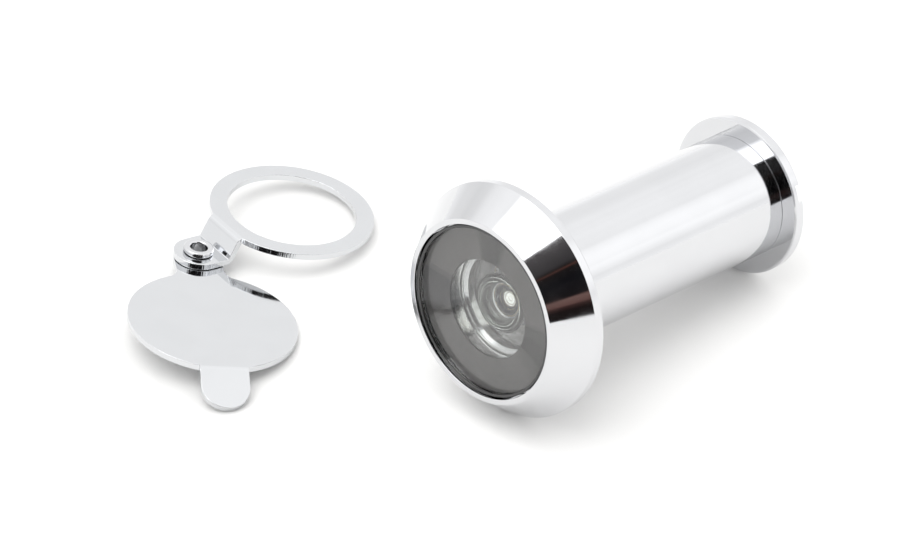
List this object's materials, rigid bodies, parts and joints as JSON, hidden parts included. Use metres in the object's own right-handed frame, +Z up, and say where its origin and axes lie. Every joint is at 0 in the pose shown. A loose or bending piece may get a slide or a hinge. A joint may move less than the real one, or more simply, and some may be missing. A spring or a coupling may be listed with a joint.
{
  "type": "door viewer with swing cover",
  "caption": "Chromed wide-angle door viewer with a screw-in eyepiece sleeve and a loose riveted swing cover for the room side.",
  "frame": {"origin": "on the surface that it lies on, under the middle of the viewer and the cover together", "axes": "+Z up. The viewer's axis runs along +Y from the head to the eyepiece and falls towards the eyepiece, because it lies on the rims of its head and flange. The cover lies at -X with its door side up."},
  "size_m": [0.0616, 0.0622, 0.0266],
  "materials": {
    "chrome_body": "polished chrome plate on turned brass",
    "chrome_sheet": "chrome plate on stamped sheet, slightly soft",
    "chrome_rivet": "chrome plate on a rolled eyelet",
    "dark_chrome": "dark plated spring wire",
    "spacer_metal": "bright turned metal",
    "blackened_metal": "dark grey satin",
    "brass": "bare turned brass",
    "lens_glass": "polished, faintly green at the edges"
  },
  "bodies": {
    "viewer_barrel": {"outer_barrel": "chrome_body", "front_retaining_ring": "dark_chrome", "front_window": "lens_glass", "mask_ring": "blackened_metal", "objective_lens": "lens_glass", "front_spacer_ring": "spacer_metal", "second_lens": "lens_glass", "rear_spacer_ring": "spacer_metal", "third_lens": "lens_glass", "lens_lock_ring": "brass"},
    "eyepiece_lens_set": {"eyepiece_lens": "lens_glass", "eyepiece_retaining_ring": "brass"},
    "sleeve": {"eyepiece_sleeve": "chrome_body"},
    "cover_flap": {"cover_disc": "chrome_sheet", "cover_rivet": "chrome_rivet"},
    "cover_bracket": {"cover_ring": "chrome_sheet"}
  },
  "joints": [
    {"name": "eyepiece_travel", "type": "slide", "parent": "viewer_barrel", "child": "eyepiece_lens_set", "axis": [0, 0.993, -0.1177], "range_m": [0, 0.0202]},
    {"name": "sleeve_turn", "type": "hinge", "parent": "eyepiece_lens_set", "child": "sleeve", "pos_m": [0.01746, -0.01115, 0.01385], "axis": [0, 0.993, -0.1177], "range_deg": [0, 7200]},
    {"name": "cover_lift", "type": "slide", "parent": "viewer_barrel", "child": "cover_flap", "axis": [0, 0, 1], "range_m": [0, 0.05]},
    {"name": "cover_swivel", "type": "hinge", "parent": "cover_flap", "child": "cover_bracket", "pos_m": [-0.02344, -0.01425, 0.00174], "axis": [0.0611, 0.1625, 0.9848], "continuous": true}
  ],
  "couplings": [
    {"joint": "eyepiece_travel", "follows": "sleeve_turn", "m_per_rad": 0.00015915}
  ]
}
